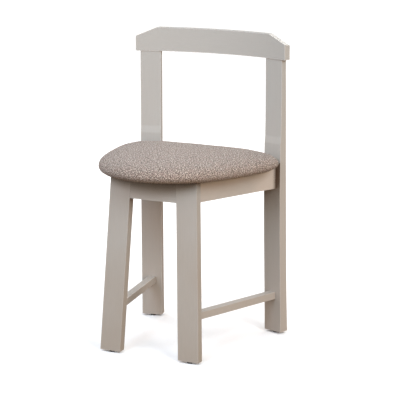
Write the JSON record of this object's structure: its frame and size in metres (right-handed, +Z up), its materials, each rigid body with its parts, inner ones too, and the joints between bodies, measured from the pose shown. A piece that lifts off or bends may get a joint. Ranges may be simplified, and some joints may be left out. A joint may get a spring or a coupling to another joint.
{
  "type": "vanity chair",
  "caption": "Low-backed painted wooden chair with a bowed crest rail, splayed flat front legs, side stretchers and a rounded upholstered seat.",
  "frame": {"origin": "on the floor, at the middle of the chair's width and depth", "axes": "+X to the right seen from the front, +Y towards the back, +Z up"},
  "size_m": [0.4192, 0.4208, 0.7303],
  "materials": {
    "painted_wood": "satin warm grey paint with slightly rubbed edges",
    "seat_fabric": "fine taupe and cream tweed weave",
    "seat_foam": "open-cell upholstery foam",
    "plywood": "bare plywood",
    "block_wood": "bare hardwood",
    "dowel_wood": "bare fluted beech",
    "lining": "thin black non-woven lining",
    "screw_steel": "zinc-plated steel",
    "glide_plastic": "dark brown nylon"
  },
  "bodies": {
    "root": {"block_screw_front_left": "screw_steel", "block_screw_front_right": "screw_steel", "block_screw_front_side_left": "screw_steel", "block_screw_front_side_right": "screw_steel", "block_screw_rear_left": "screw_steel", "block_screw_rear_right": "screw_steel", "block_screw_rear_side_left": "screw_steel", "block_screw_rear_side_right": "screw_steel", "corner_block_front_left": "block_wood", "corner_block_front_right": "block_wood", "corner_block_rear_left": "block_wood", "corner_block_rear_right": "block_wood", "crest_dowel_inner_left": "dowel_wood", "crest_dowel_inner_right": "dowel_wood", "crest_dowel_outer_left": "dowel_wood", "crest_dowel_outer_right": "dowel_wood", "crest_rail": "painted_wood", "dust_cover": "lining", "front_apron": "painted_wood", "front_dowel_lower_left": "dowel_wood", "front_dowel_lower_right": "dowel_wood", "front_dowel_upper_left": "dowel_wood", "front_dowel_upper_right": "dowel_wood", "front_leg_left": "painted_wood", "front_leg_right": "painted_wood", "glide_front_left": "glide_plastic", "glide_front_right": "glide_plastic", "glide_rear_left": "glide_plastic", "glide_rear_right": "glide_plastic", "rear_apron": "painted_wood", "rear_dowel_lower_left": "dowel_wood", "rear_dowel_lower_right": "dowel_wood", "rear_dowel_upper_left": "dowel_wood", "rear_dowel_upper_right": "dowel_wood", "rear_post_left": "painted_wood", "rear_post_right": "painted_wood", "seat_board": "plywood", "seat_cover": "seat_fabric", "seat_foam": "seat_foam", "seat_screw_front_left": "screw_steel", "seat_screw_front_right": "screw_steel", "seat_screw_rear_left": "screw_steel", "seat_screw_rear_right": "screw_steel", "side_apron_left": "painted_wood", "side_apron_right": "painted_wood", "side_dowel_front_lower_left": "dowel_wood", "side_dowel_front_lower_right": "dowel_wood", "side_dowel_front_upper_left": "dowel_wood", "side_dowel_front_upper_right": "dowel_wood", "side_dowel_rear_lower_left": "dowel_wood", "side_dowel_rear_lower_right": "dowel_wood", "side_dowel_rear_upper_left": "dowel_wood", "side_dowel_rear_upper_right": "dowel_wood", "stretcher_dowel_front_left": "dowel_wood", "stretcher_dowel_front_right": "dowel_wood", "stretcher_dowel_rear_left": "dowel_wood", "stretcher_dowel_rear_right": "dowel_wood", "stretcher_left": "painted_wood", "stretcher_right": "painted_wood"}
  },
  "joints": []
}
